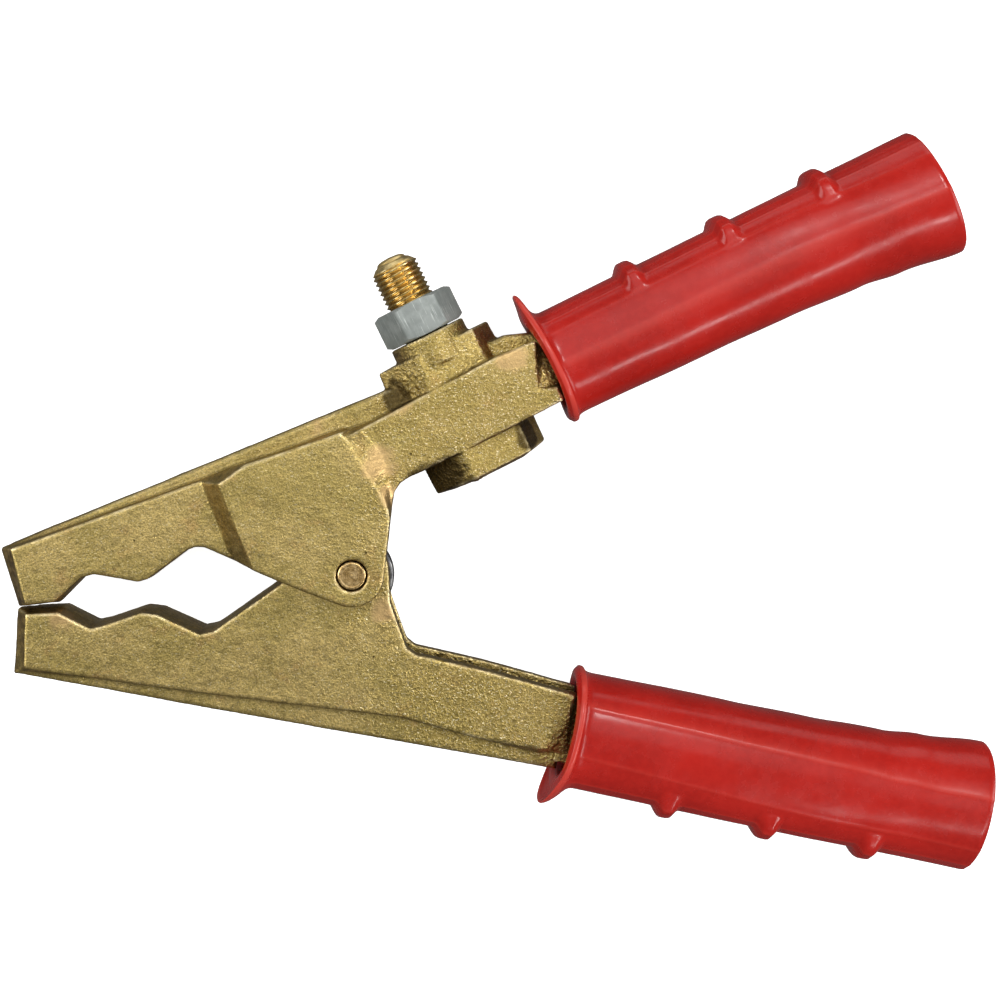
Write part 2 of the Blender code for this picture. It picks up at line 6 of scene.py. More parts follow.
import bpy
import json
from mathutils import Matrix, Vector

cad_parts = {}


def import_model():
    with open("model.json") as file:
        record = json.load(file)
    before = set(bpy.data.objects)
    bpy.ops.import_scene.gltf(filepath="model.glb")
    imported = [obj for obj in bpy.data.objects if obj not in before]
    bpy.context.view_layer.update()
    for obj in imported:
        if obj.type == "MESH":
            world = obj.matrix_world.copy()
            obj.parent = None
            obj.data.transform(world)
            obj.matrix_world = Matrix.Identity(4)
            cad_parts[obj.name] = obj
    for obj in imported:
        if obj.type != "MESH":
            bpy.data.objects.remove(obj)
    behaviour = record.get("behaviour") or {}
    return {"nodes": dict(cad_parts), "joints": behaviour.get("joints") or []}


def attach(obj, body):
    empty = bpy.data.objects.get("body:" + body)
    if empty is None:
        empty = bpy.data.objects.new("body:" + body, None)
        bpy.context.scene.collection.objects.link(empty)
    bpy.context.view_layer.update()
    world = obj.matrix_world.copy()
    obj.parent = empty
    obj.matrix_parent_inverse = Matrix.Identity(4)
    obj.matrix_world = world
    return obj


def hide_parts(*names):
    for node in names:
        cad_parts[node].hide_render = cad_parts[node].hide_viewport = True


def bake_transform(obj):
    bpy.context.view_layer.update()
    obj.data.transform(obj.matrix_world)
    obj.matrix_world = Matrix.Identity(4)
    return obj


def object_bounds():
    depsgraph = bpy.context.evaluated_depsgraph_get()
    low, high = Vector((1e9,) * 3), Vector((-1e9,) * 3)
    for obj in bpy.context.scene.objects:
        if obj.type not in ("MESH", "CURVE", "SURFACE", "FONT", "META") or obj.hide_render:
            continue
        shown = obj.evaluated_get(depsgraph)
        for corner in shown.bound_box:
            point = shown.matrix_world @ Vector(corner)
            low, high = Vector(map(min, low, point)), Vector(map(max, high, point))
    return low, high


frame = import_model()
cad_box = [list(corner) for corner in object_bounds()]

import json
import math

import bmesh
import bpy
import numpy as np
from mathutils import Matrix, Vector, noise

MM = 0.001
JOINTS = {joint["name"]: joint for joint in frame["joints"]}
PIVOT = Vector(JOINTS["jaw_hinge"]["pos_m"])

# Places (from the pivot) and sizes repeated from the CAD model.
HANDLE_TILT, LOWER_GRIP_TILT = math.radians(26.1), math.radians(-12.6)
UPPER_GRIP, LOWER_GRIP = (41.1, 60.7), (48.6, -53.5)
SEAT = (18.1, 57.5)
GRIP_LENGTH, GRIP_WALL = 105.2, 2.3
MOUTH_BOW, MOUTH_BOW_LENGTH = 1.2, 12.0  # how far each mouth is set back on its two flat sides
BUMP_PLACES, BUMP_HEIGHT, BUMP_HALF_LENGTH = (28.4, 53.6, 79.3), 2.3, 3.4
STUD_RADIUS, THREAD_DEPTH, THREAD_PITCH = 6.0, 0.65, 1.25
STUD_ABOVE_SEAT, STUD_BELOW_SEAT, STUD_TIP, THREAD_LENGTH = 21.0, 30.0, 3.2, 28.0
NUT_ACROSS_FLATS, NUT_HEIGHT, NUT_TURN, NUT_GAP = 18.0, 8.6, 4.2, 0.3
PIN_RADIUS, PIN_HALF = 3.4, 12.4

# Looks of the surfaces.
VOXEL = 0.42  # grid on which the castings are remade
CAST_UNEVENNESS, CAST_GRAIN, SLEEVE_UNEVENNESS = 0.09, 0.04, 0.07
GRIP_POINTS = 216  # round each sleeve
FLAT_SIDE_POWER, OUTER_SIDE_POWER = 0.84, 0.76  # below 1 squares the sleeve's section, 1 leaves it round
ROUND_FROM, ROUND_OVER = 62.0, 36.0  # where the section begins to turn round, and over what length
STUD_POINTS, NUT_POINTS, PIN_POINTS = 60, 144, 72
NUT_CHAMFER = math.radians(28.0)
FLOOR_GLOW = 0.85


# Meshes


def link(name, mesh, matrix=None):
    obj = bpy.data.objects.new(name, mesh)
    bpy.context.scene.collection.objects.link(obj)
    if matrix is not None:
        obj.matrix_world = matrix
    return obj


def grid_mesh(name, rings, closed_ends=(True, True)):
    """Tube through rings of equal length. closed_ends says which ends get a flat face."""
    count = len(rings[0])
    points = [tuple(point) for point in np.array(rings, float).reshape(-1, 3) * MM]
    faces = []
    for i in range(len(rings) - 1):
        a, b = i * count, (i + 1) * count
        faces += [(a + j, a + (j + 1) % count, b + (j + 1) % count, b + j) for j in range(count)]
    mesh = bpy.data.meshes.new(name)
    for last, closed in zip((False, True), closed_ends):
        if closed:
            start = (len(rings) - 1) * count if last else 0
            loop = list(range(start, start + count))
            faces.append(tuple(loop if last else loop[::-1]))
    mesh.from_pydata(points, [], faces)
    bm = bmesh.new()
    bm.from_mesh(mesh)
    bmesh.ops.recalc_face_normals(bm, faces=bm.faces)
    bm.to_mesh(mesh)
    bm.free()
    return mesh


def smooth_by_angle(mesh, degrees):
    mesh.shade_smooth()
    mesh.set_sharp_from_angle(angle=math.radians(degrees))


def evaluated(obj, name):
    """A new mesh with obj's modifiers applied; obj is removed."""
    graph = bpy.context.evaluated_depsgraph_get()
    mesh = bpy.data.meshes.new_from_object(obj.evaluated_get(graph))
    mesh.name = name
    bpy.data.objects.remove(obj)
    return mesh


def node_copy(node):
    """The CAD node's mesh with the vertices its importer split joined again."""
    mesh = frame["nodes"][node].data.copy()
    mesh.materials.clear()
    bm = bmesh.new()
    bm.from_mesh(mesh)
    bmesh.ops.remove_doubles(bm, verts=bm.verts, dist=0.002 * MM)
    bm.to_mesh(mesh)
    bm.free()
    return mesh


def read(mesh, what, width=3):
    values = np.empty(len(mesh.vertices) * width, np.float32)
    mesh.vertices.foreach_get(what, values)
    return values.reshape(-1, width).astype(float)


def write_attribute(mesh, name, values):
    attribute = mesh.attributes.new(name, "FLOAT", "POINT")
    attribute.data.foreach_set("value", np.clip(values, 0.0, 1.0).astype(np.float32))


def neighbour_mean(mesh, values, rounds=1):
    ends = np.empty(len(mesh.edges) * 2, np.int32)
    mesh.edges.foreach_get("vertices", ends)
    a, b = ends[0::2], ends[1::2]
    count = len(mesh.vertices)
    degree = np.maximum(np.bincount(a, minlength=count) + np.bincount(b, minlength=count), 1)
    for _ in range(rounds):
        columns = []
        for column in values.T:
            total = np.bincount(a, column[b], count) + np.bincount(b, column[a], count)
            columns.append(total / degree)
        values = np.stack(columns, axis=1)
    return values


def step(low, high, values):
    share = np.clip((values - low) / (high - low), 0.0, 1.0)
    return share * share * (3.0 - 2.0 * share)


def noise_field(points, size, octaves=1, seed=0.0):
    """Perlin noise of a cell size in mm at each point, about -1 to 1."""
    shift = Vector((seed, 2.3 * seed, -1.7 * seed))
    scale = 1.0 / (size * MM)
    values = np.zeros(len(points))
    for i, point in enumerate(points):
        place = Vector(point) * scale + shift
        values[i] = noise.fractal(place, 0.9, 2.0, octaves) if octaves > 1 else noise.noise(place)
    return values


def stud_matrix(lift=0.0):
    along = Vector((math.cos(HANDLE_TILT), math.sin(HANDLE_TILT), 0.0))
    up = Vector((-along.y, along.x, 0.0))
    turn = Matrix((along, up.cross(along), up)).transposed().to_4x4()
    place = PIVOT + (Vector((*SEAT, 0.0)) + up * lift) * MM
    return Matrix.Translation(place) @ turn


# Materials


class Look:
    """A Principled material with short calls for its nodes."""

    def __init__(self, name, **sockets):
        self.material = bpy.data.materials.new(name)
        self.material.use_nodes = True
        self.tree = self.material.node_tree
        self.shader = next(node for node in self.tree.nodes if node.type == "BSDF_PRINCIPLED")
        self.place = self.tree.nodes.new("ShaderNodeTexCoord").outputs["Object"]
        for socket, value in sockets.items():
            self.shader.inputs[socket.replace("_", " ").title().replace("Ior", "IOR")].default_value = value

    def node(self, kind, settings=None, **links):
        made = self.tree.nodes.new(kind)
        for key, value in (settings or {}).items():
            setattr(made, key, value)
        for key, value in links.items():
            socket = made.inputs[int(key[1:])] if key[0] == "_" else made.inputs[key.replace("_", " ")]
            if isinstance(value, bpy.types.NodeSocket):
                self.tree.links.new(value, socket)
            else:
                socket.default_value = value
        return made

    def noise(self, size, detail=2.0, rough=0.5, place=None):
        made = self.node("ShaderNodeTexNoise", Vector=place or self.place, Scale=1.0 / (size * MM),
                         Detail=detail, Roughness=rough)
        return made.outputs[0]

    def cells(self, size):
        made = self.node("ShaderNodeTexVoronoi", Vector=self.place, Scale=1.0 / (size * MM))
        return made.outputs["Distance"]

    def stretched(self, x, y, z):
        return self.node("ShaderNodeMapping", Vector=self.place, Scale=(x, y, z)).outputs[0]

    def attribute(self, name):
        return self.node("ShaderNodeAttribute", {"attribute_name": name}).outputs["Fac"]

    def between(self, value, low, high, to_low=0.0, to_high=1.0):
        made = self.node("ShaderNodeMapRange", {"interpolation_type": "SMOOTHSTEP"}, Value=value)
        for index, number in zip((1, 2, 3, 4), (low, high, to_low, to_high)):
            made.inputs[index].default_value = number
        return made.outputs[0]

    def maths(self, operation, a, b):
        return self.node("ShaderNodeMath", {"operation": operation}, _0=a, _1=b).outputs[0]

    def mix(self, share, a, b, blend="MIX"):
        made = self.node("ShaderNodeMix", {"data_type": "RGBA", "blend_type": blend})
        for socket, value in ((made.inputs[0], share), (made.inputs[6], a), (made.inputs[7], b)):
            if isinstance(value, bpy.types.NodeSocket):
                self.tree.links.new(value, socket)
            else:
                socket.default_value = value if isinstance(value, float) else (*value, 1.0)
        return made.outputs[2]

    def bump(self, height, depth, strength=1.0, normal=None):
        made = self.node("ShaderNodeBump", Height=height, Distance=depth * MM, Strength=strength)
        if normal is not None:
            self.tree.links.new(normal, made.inputs["Normal"])
        return made.outputs[0]

    def wire(self, **links):
        for socket, value in links.items():
            self.tree.links.new(value, self.shader.inputs[socket.replace("_", " ")])
        return self.material


def cast_brass():
    """Tumbled sand-cast brass: olive gold with dents, painted glints in dots and strokes, painted shade in
    hollows, brown cast skin on the sides darkened as painted shade where they turn from the light, and
    painted highlights on edges.
    """
    look = Look("cast_brass", metallic=1.0)
    skin, edge, painted_shade = look.attribute("skin"), look.attribute("edge"), look.attribute("painted_shade")
    sand, heat = look.attribute("sand"), look.attribute("heat")
    colour = look.mix(look.between(look.noise(15.0, 3.0, 0.55), 0.38, 0.66), (0.53, 0.405, 0.135),
                      (0.68, 0.510, 0.190))
    tint = look.between(look.noise(6.0, 5.0, 0.62), 0.54, 0.74, 0.0, 0.75)
    colour = look.mix(tint, colour, (0.60, 0.385, 0.145))
    colour = look.mix(look.maths("MULTIPLY", heat, 0.6), colour, (0.37, 0.235, 0.085))
    grain = look.noise(0.42, 3.0, 0.62)
    dents = look.between(look.noise(0.72, 2.0, 0.5), 0.44, 0.66)
    speckle = look.between(grain, 0.34, 0.62, 0.62, 1.12)
    shade = look.node("ShaderNodeCombineColor", _0=speckle, _1=speckle, _2=speckle).outputs[0]
    colour = look.mix(1.0, colour, shade, "MULTIPLY")
    # Painted glints: pale gold dots and scratch-like strokes stand in for sparkle off the grain, more of
    # them on the sand-cast parts.
    glint_strokes = None
    for turn, seed in ((35.0, 0.0), (-50.0, 0.3), (85.0, 0.7)):
        along = look.node("ShaderNodeMapping", Vector=look.place, Location=(seed, 0.0, 0.0),
                          Rotation=(0.0, 0.0, math.radians(turn)), Scale=(0.38, 1.0, 0.5)).outputs[0]
        strokes = look.between(look.noise(0.34, 1.0, 0.4, along), 0.71, 0.78)
        glint_strokes = strokes if glint_strokes is None else look.maths("MAXIMUM", glint_strokes, strokes)
    glint_dots = look.between(look.noise(0.32, 1.0), 0.655, 0.74)
    painted_glint = look.maths("MAXIMUM", glint_strokes, glint_dots)
    painted_glint = look.maths("MULTIPLY", painted_glint, look.maths("ADD", 0.38, look.maths("MULTIPLY", sand, 0.62)))
    colour = look.mix(look.maths("MULTIPLY", sand, 0.46), colour, (0.29, 0.200, 0.048))
    colour = look.mix(painted_glint, colour, (1.0, 0.88, 0.56))
    # Brown cast skin on the sides, darkened further as painted shade on sides turned away from the light.
    skin_and_shade_colour = look.mix(look.between(look.noise(2.0, 5.0, 0.7), 0.40, 0.66), (0.16, 0.104, 0.044),
                           (0.47, 0.33, 0.135))
    colour = look.mix(skin, colour, skin_and_shade_colour)
    colour = look.mix(look.maths("MULTIPLY", look.attribute("smooth"), 0.75), colour, (0.66, 0.435, 0.20))
    pit = look.between(look.cells(5.2), 0.035, 0.085, 1.0, 0.0)
    pit = look.maths("MULTIPLY", pit, look.between(look.noise(8.0), 0.52, 0.60))
    colour = look.mix(look.maths("MULTIPLY", pit, 0.8), colour, (0.06, 0.042, 0.018))
    # Painted shade, near black, in creases and on the shaded patches.
    colour = look.mix(look.maths("MULTIPLY", painted_shade, 0.9), colour, (0.050, 0.032, 0.012))
    # Painted highlight, pale gold, on convex edges that face the light and on the edges of the bars.
    colour = look.mix(look.maths("MULTIPLY", edge, 0.8), colour, (1.0, 0.84, 0.50))
    rough = look.between(look.noise(1.6, 3.0), 0.3, 0.7, 0.30, 0.44)
    rough = look.maths("ADD", rough, look.maths("MULTIPLY", skin, 0.10))
    normal = look.bump(look.noise(2.6, 3.0, 0.5), 0.20, 0.5)
    normal = look.bump(look.maths("MULTIPLY", dents, sand), 0.105, 0.9, normal)
    normal = look.bump(grain, 0.085, 0.85, normal)
    normal = look.bump(look.maths("SUBTRACT", 1.0, pit), 0.35, 0.8, normal)
    return look.wire(Base_Color=colour, Roughness=rough, Normal=normal)


def turned_brass():
    look = Look("turned_brass", metallic=1.0)
    rings = look.noise(0.5, 3.0, 0.6, look.stretched(0.15, 0.15, 2.0))
    colour = look.mix(look.between(rings, 0.35, 0.65), (0.80, 0.56, 0.20), (0.95, 0.76, 0.38))
    # Painted shade, brown, in the thread roots.
    colour = look.mix(look.maths("MULTIPLY", look.attribute("painted_shade"), 0.60), colour, (0.30, 0.165, 0.04))
    dull = look.between(look.noise(2.4, 3.0), 0.45, 0.65, 0.0, 0.6)
    colour = look.mix(look.maths("MULTIPLY", dull, look.attribute("edge")), colour, (0.40, 0.33, 0.15))
    rough = look.between(look.noise(1.1, 2.0), 0.3, 0.7, 0.20, 0.32)
    rough = look.maths("ADD", rough, look.maths("MULTIPLY", look.attribute("edge"), 0.15))
    return look.wire(Base_Color=colour, Roughness=rough, Normal=look.bump(rings, 0.03, 0.6))


def rivet_brass():
    look = Look("rivet_copper", metallic=1.0)
    clouds = look.between(look.noise(1.4, 4.0, 0.6), 0.38, 0.64)
    colour = look.mix(clouds, (0.54, 0.345, 0.125), (0.88, 0.63, 0.30))
    # Painted shade, dark brown, in the ring grooves and at the rim.
    colour = look.mix(look.maths("MULTIPLY", look.attribute("painted_shade"), 0.8), colour, (0.16, 0.095, 0.035))
    rough = look.between(look.noise(0.7, 2.0), 0.3, 0.7, 0.22, 0.38)
    return look.wire(Base_Color=colour, Roughness=rough, Normal=look.bump(look.noise(0.35, 3.0), 0.05, 0.5))


def zinc():
    look = Look("zinc_plate", metallic=0.32)
    drawn = look.noise(0.55, 4.0, 0.65, look.stretched(1.6, 1.6, 0.07))
    clouds = look.between(look.noise(3.2, 3.0), 0.35, 0.65)
    colour = look.mix(clouds, (0.250, 0.274, 0.256), (0.330, 0.355, 0.335))
    colour = look.mix(look.between(drawn, 0.57, 0.74, 0.0, 0.8), colour, (0.80, 0.84, 0.80))
    colour = look.mix(look.between(drawn, 0.42, 0.26, 0.0, 0.4), colour, (0.16, 0.175, 0.17))
    rough = look.between(look.noise(1.8, 3.0), 0.3, 0.7, 0.40, 0.52)
    return look.wire(Base_Color=colour, Roughness=rough, Normal=look.bump(drawn, 0.035, 0.7))


def spring_steel():
    look = Look("spring_steel", metallic=1.0)
    clouds = look.between(look.noise(1.5, 3.0), 0.35, 0.65)
    colour = look.mix(clouds, (0.10, 0.10, 0.105), (0.24, 0.235, 0.23))
    rough = look.between(look.noise(0.9, 2.0), 0.3, 0.7, 0.28, 0.45)
    return look.wire(Base_Color=colour, Roughness=rough, Normal=look.bump(look.noise(0.4, 3.0), 0.03, 0.5))


def red_vinyl():
    """Dip-moulded glossy red, slightly mottled, with a soft uneven surface."""
    look = Look("red_vinyl", metallic=0.0)
    look.shader.inputs["Specular IOR Level"].default_value = 0.34
    broad = look.between(look.noise(22.0, 3.0, 0.5), 0.35, 0.65)
    colour = look.mix(broad, (0.39, 0.010, 0.006), (0.48, 0.013, 0.008))
    fine = look.between(look.noise(1.6, 4.0, 0.6), 0.40, 0.62, 0.0, 0.20)
    colour = look.mix(fine, colour, (0.58, 0.024, 0.015))
    # Painted highlight, lighter red, on the mould lines and the lip's crest.
    colour = look.mix(look.maths("MULTIPLY", look.attribute("edge"), 0.5), colour, (0.85, 0.11, 0.08))
    # Painted shade, dark red, inside the sleeve.
    colour = look.mix(look.maths("MULTIPLY", look.attribute("painted_shade"), 0.7), colour, (0.26, 0.008, 0.006))
    rough = look.between(look.noise(5.0, 4.0, 0.6), 0.35, 0.65, 0.19, 0.29)
    normal = look.bump(look.noise(4.0, 2.0), 0.05, 0.5)
    normal = look.bump(look.noise(0.8, 3.0, 0.6), 0.010, 0.6, normal)
    return look.wire(Base_Color=colour, Roughness=rough, Normal=normal)


# Cast levers


# Wrinkled patches of the castings: place from the pivot, radius and height of the wrinkles.
WRINKLES = ((13.5, 45.5, 8.0, 5.0, 0.26), (28.5, 25.5, 6.0, 5.5, 0.34), (46.8, 50.0, 8.5, 5.0, 0.14),
            (49.5, -42.5, 6.5, 5.0, 0.20), (30.0, 45.5, 10.0, 5.0, 0.05))
# Rubbed smooth patches: place from the pivot and radius.
SMOOTH_PATCHES = ((6.5, 26.5, 11.0, 5.5), (9.0, 19.0, 11.0, 4.5), (10.0, 43.0, 10.0, 6.0),
                  (-8.0, 35.5, 8.0, 5.0), (38.0, 52.5, 9.5, 5.0), (8.0, -9.0, 9.0, 5.0),
                  (-70.0, -10.0, 7.0, 5.0))
# Patches of painted shade: place from the pivot and radius.
PAINTED_SHADE_PATCHES = ((18.5, 20.5, 7.0, 8.0), (22.5, 23.5, 8.0, 6.0), (43.5, 34.0, 6.0, 5.5),
                (10.5, 42.6, 5.0, 4.6))
# Browned patches: place from the pivot and radius.
HEAT_PATCHES = ((13.0, 45.0, 8.0, 6.5),)
# Painted light where each bar enters its sleeve, which lies in the lip's shade: cast skin and painted shade
# are mostly taken away there; place from the pivot and radius.
LIGHTENED_PATCHES = ((47.0, 50.0, 8.0, 8.5), (50.0, -42.0, 7.0, 7.0))


def patch_cover(away, patches, ragged, full):
    """Share of each place covered by round patches. full is the share of a radius that is all covered."""
    cover = np.zeros(len(away))
    for x, y, z, radius in patches:
        reach = np.linalg.norm(away - (x, y, z), axis=1) + ragged
        cover = np.maximum(cover, 1.0 - step(full * radius, radius, reach))
    return cover


def cast_piece(node, name, body, shade_spread, material):
    """The CAD solid remade as a casting: softened corners, uneven faces and a sandy surface.

    The fourth argument sets how far the painted shade spreads out of the inner corners.
    """
    obj = link("casting", node_copy(node))
    remesh = obj.modifiers.new("voxels", "REMESH")
    remesh.mode = "VOXEL"
    remesh.voxel_size = VOXEL * MM
    soften = obj.modifiers.new("soften", "SMOOTH")
    soften.factor = 0.5
    soften.iterations = 2
    mesh = evaluated(obj, name)
    places, normals = read(mesh, "co"), read(mesh, "normal")
    away = (places - np.array(PIVOT)) / MM
    bend = np.einsum("ij,ij->i", neighbour_mean(mesh, places, 3) - places, normals) / MM
    fine = noise_field(places, 1.5, 2, 7.7)
    lift = CAST_UNEVENNESS * noise_field(places, 9.0, 2, 3.1) + CAST_GRAIN * fine
    for x, y, z, radius, height in WRINKLES:
        reach = np.linalg.norm(away - (x, y, z), axis=1)
        lift += height * (1.0 - step(0.4 * radius, radius, reach)) * (2.2 * np.abs(fine) - 0.4)
    places += normals * (lift * MM)[:, None]
    mesh.vertices.foreach_set("co", places.astype(np.float32).ravel())
    sideways = neighbour_mean(mesh, normals, 2)
    sideways /= np.maximum(np.linalg.norm(sideways, axis=1), 1e-6)[:, None]
    flatness = np.abs(sideways[:, 2])
    lit = step(-0.15, 0.35, sideways[:, 1] + 0.35 * sideways[:, 0])
    patches = noise_field(places, 4.0, 3, 11.0)
    # skin is brown cast skin on side faces and their roundings, with painted shade where they turn away from
    # the light.
    skin = (1.0 - lit) * (1.0 - step(0.50, 0.92, flatness)) + 0.55 * lit * (1.0 - step(0.25, 0.70, flatness))
    # Cast skin and painted shade are mostly taken away where each bar enters its sleeve, painting light into
    # the lip's shade.
    shade_kept = 1.0 - 0.9 * patch_cover(away, LIGHTENED_PATCHES, 1.0 * patches, 0.7)
    write_attribute(mesh, "skin", skin * shade_kept * (0.85 + 0.25 * patches))
    # edge: painted highlight on convex edges that face the light, and on the edges of the bars.
    edge_light_mask = np.maximum(lit, 0.85 * step(16.0, 26.0, away[:, 0]))
    write_attribute(mesh, "edge", step(0.04, 0.16, -bend) * edge_light_mask * (0.55 + 0.9 * patches))
    # Painted shade: dark in the creases, spread out from them by the fourth argument, and over the shaded
    # patches.
    creases = step(0.03, 0.16, bend)
    spread = neighbour_mean(mesh, creases[:, None], 9)[:, 0]
    crease_shade = np.maximum(0.8 * creases, shade_spread * spread) * (0.8 + 0.7 * patches) * shade_kept
    crease_shade = np.maximum(crease_shade, 0.95 * patch_cover(away, PAINTED_SHADE_PATCHES, 1.2 * patches, 0.75))
    write_attribute(mesh, "painted_shade", crease_shade)
    smooth = patch_cover(away, SMOOTH_PATCHES, 1.6 * patches, 0.45)
    write_attribute(mesh, "smooth", smooth)
    sand = 0.25 + 0.75 * step(-8.0, 22.0, away[:, 0] + 14.0 * patches)
    write_attribute(mesh, "sand", sand * (1.0 - 0.85 * smooth))
    jaws = step(50.0, 90.0, -away[:, 0]) * np.where(away[:, 1] < -8.0, 1.0, 0.35)
    jaws = np.maximum(jaws, 1.5 * patch_cover(away, HEAT_PATCHES, 1.0 * patches, 0.5))
    write_attribute(mesh, "heat", jaws * (0.75 + 0.5 * patches))
    mesh.shade_smooth()
    mesh.materials.append(material)
    piece = link(name, mesh)
    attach(piece, body)
    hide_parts(node)
    return piece


# Turned pieces


def lathe(profile, count):
    """Rings for a profile of (radius, height) about Z."""
    turns = [2.0 * math.pi * i / count for i in range(count)]
    circle = [(math.cos(turn), math.sin(turn)) for turn in turns]
    return [[(radius * x, radius * y, height) for x, y in circle] for radius, height in profile]


def tip_radius(height):
    """Outline of the stud's chamfered end, from its last full thread to its small domed nose."""
    above = height - (STUD_ABOVE_SEAT - STUD_TIP)
    heights = (-1.0, 0.15, 1.7, 1.95, 2.5, 2.85, 3.05, STUD_TIP)
    radii = (STUD_RADIUS, STUD_RADIUS, 4.45, 3.85, 3.55, 3.0, 2.1, 0.25)
    return float(np.interp(above, heights, radii))


def build_stud(material):
    root = STUD_RADIUS - THREAD_DEPTH
    count = STUD_POINTS
    thread_start = STUD_ABOVE_SEAT - STUD_TIP - THREAD_LENGTH
    thread_end = STUD_ABOVE_SEAT - STUD_TIP + 0.3
    heights = [-STUD_BELOW_SEAT, thread_start - 0.5]
    heights += list(np.arange(thread_start, thread_end, THREAD_PITCH / 8.0))
    heights += list(np.linspace(thread_end + 0.05, STUD_ABOVE_SEAT, 20))
    rings, painted_shade = [], []
    for height in heights:
        ring = []
        for i in range(count):
            turn = 2.0 * math.pi * i / count
            phase = ((height - thread_start) / THREAD_PITCH - i / count) % 1.0
            ridge = 1.0 - abs(2.0 * phase - 1.0)
            ridge = min(1.0, max(0.0, 1.25 * ridge - 0.10))
            started = min(1.0, max(0.0, (height - thread_start) / 1.5))
            radius = min(root + THREAD_DEPTH * ridge * started, tip_radius(height))
            ring.append((radius * math.cos(turn), radius * math.sin(turn), height))
            # Painted shade in the thread roots.
            painted_shade.append((1.0 - ridge) * (1.0 if height < thread_end else 0.0))
        rings.append(ring)
    mesh = grid_mesh("cable_stud_turned", rings)
    write_attribute(mesh, "painted_shade", np.array(painted_shade))
    tip = np.repeat(np.array(heights) > thread_end, count)
    write_attribute(mesh, "edge", tip.astype(float))
    smooth_by_angle(mesh, 50)
    mesh.materials.append(material)
    piece = link("cable_stud_turned", mesh, stud_matrix())
    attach(piece, "upper")
    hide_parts("cable_stud")


def build_nut(material):
    flat = 0.5 * NUT_ACROSS_FLATS
    slope = math.tan(NUT_CHAMFER)
    corner = NUT_ACROSS_FLATS / math.sqrt(3.0)
    bore = STUD_RADIUS + NUT_GAP
    rings = [[] for _ in range(9)]
    for i in range(NUT_POINTS):
        turn = 2.0 * math.pi * i / NUT_POINTS
        from_flat = (math.degrees(turn) % 60.0) - 30.0
        edge = min(flat / math.cos(math.radians(from_flat)), corner - 0.12)
        angle = turn + math.radians(NUT_TURN)
        drop = max(0.0, (edge - flat + 0.1) * slope)
        stops = ((bore, 0.6), (bore + 0.6, 0.0), (flat - 0.1, 0.0), (edge, drop), (edge, NUT_HEIGHT - drop),
                 (flat - 0.1, NUT_HEIGHT), (bore + 0.6, NUT_HEIGHT), (bore, NUT_HEIGHT - 0.6), (bore, 0.6))
        for ring, (radius, height) in zip(rings, stops):
            ring.append((radius * math.cos(angle), radius * math.sin(angle), height))
    mesh = grid_mesh("nut_blank", rings, (False, False))
    obj = link("nut_blank", mesh)
    weld = obj.modifiers.new("weld", "WELD")
    weld.merge_threshold = 0.01 * MM
    bevel = obj.modifiers.new("soft_edges", "BEVEL")
    bevel.width = 0.16 * MM
    bevel.segments = 2
    bevel.limit_method = "ANGLE"
    bevel.angle_limit = math.radians(22.0)
    mesh = evaluated(obj, "stud_nut_plated")
    smooth_by_angle(mesh, 18)
    mesh.materials.append(material)
    piece = link("stud_nut_plated", mesh, stud_matrix(NUT_GAP))
    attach(piece, "nut")
    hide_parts("stud_nut")


def build_rivet(material):
    """The pin with its faced ends, finely ringed from turning."""
    face = [(0.05, -0.02)]
    for i in range(11):
        radius = 0.30 + 0.24 * i
        face.append((radius, -0.01 - (0.06 if i % 2 else 0.0)))
    face += [(2.95, 0.0), (3.15, -0.05), (3.32, -0.18), (PIN_RADIUS, -0.45)]
    upper = [(radius, PIN_HALF + depth) for radius, depth in face]
    lower = [(radius, -PIN_HALF - depth) for radius, depth in face]
    profile = lower + [(PIN_RADIUS, -6.0), (PIN_RADIUS, 6.0)] + upper[::-1]
    mesh = grid_mesh("pivot_rivet_turned", lathe(profile, PIN_POINTS))
    # Painted shade in the face's ring grooves, and a little at the rim and on the shank.
    shade = []
    for radius, height in profile:
        low = (PIN_HALF - abs(height)) / 0.12 if radius < 3.0 else 0.25 * step(2.9, 3.4, np.array(radius))
        shade += [min(1.0, float(low))] * PIN_POINTS
    write_attribute(mesh, "painted_shade", np.array(shade))
    smooth_by_angle(mesh, 35)
    mesh.materials.append(material)
    piece = link("pivot_rivet_turned", mesh, Matrix.Translation(PIVOT))
    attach(piece, "upper")
    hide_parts("pivot_rivet")


def build_spring(material):
    obj = link("wire", node_copy("torsion_spring"))
    rounding = obj.modifiers.new("round", "SUBSURF")
    rounding.levels = rounding.render_levels = 1
    mesh = evaluated(obj, "torsion_spring_wire")
    mesh.shade_smooth()
    mesh.materials.append(material)
    piece = link("torsion_spring_wire", mesh)
    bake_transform(piece)
    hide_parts("torsion_spring")


# Handle sleeves


def grip_width(at):
    places = (0.0, 41.0, 60.0, 79.0, 89.0, GRIP_LENGTH)
    widths = (26.6, 27.4, 28.0, 29.1, 30.4, 32.4)
    for a, b, wide_a, wide_b in zip(places, places[1:], widths, widths[1:]):
        if at <= b:
            share = (at - a) / (b - a)
            return wide_a + (wide_b - wide_a) * share * share * (3.0 - 2.0 * share)
    return widths[-1]


def grip_depth(at):
    return 12.6 + 1.7 * max(0.0, (at - 70.0) / (GRIP_LENGTH - 70.0)) ** 1.5


def smooth_share(value):
    value = min(1.0, max(0.0, value))
    return value * value * (3.0 - 2.0 * value)


def nub(at, turn):
    nearness = 1.0 - min(abs(at - place) for place in BUMP_PLACES) / BUMP_HALF_LENGTH
    window = (math.sin(turn) - 0.46) / 0.34
    return BUMP_HEIGHT * smooth_share(nearness * 1.3) * smooth_share(window)


def squared(value, power):
    return math.copysign(abs(value) ** power, value)


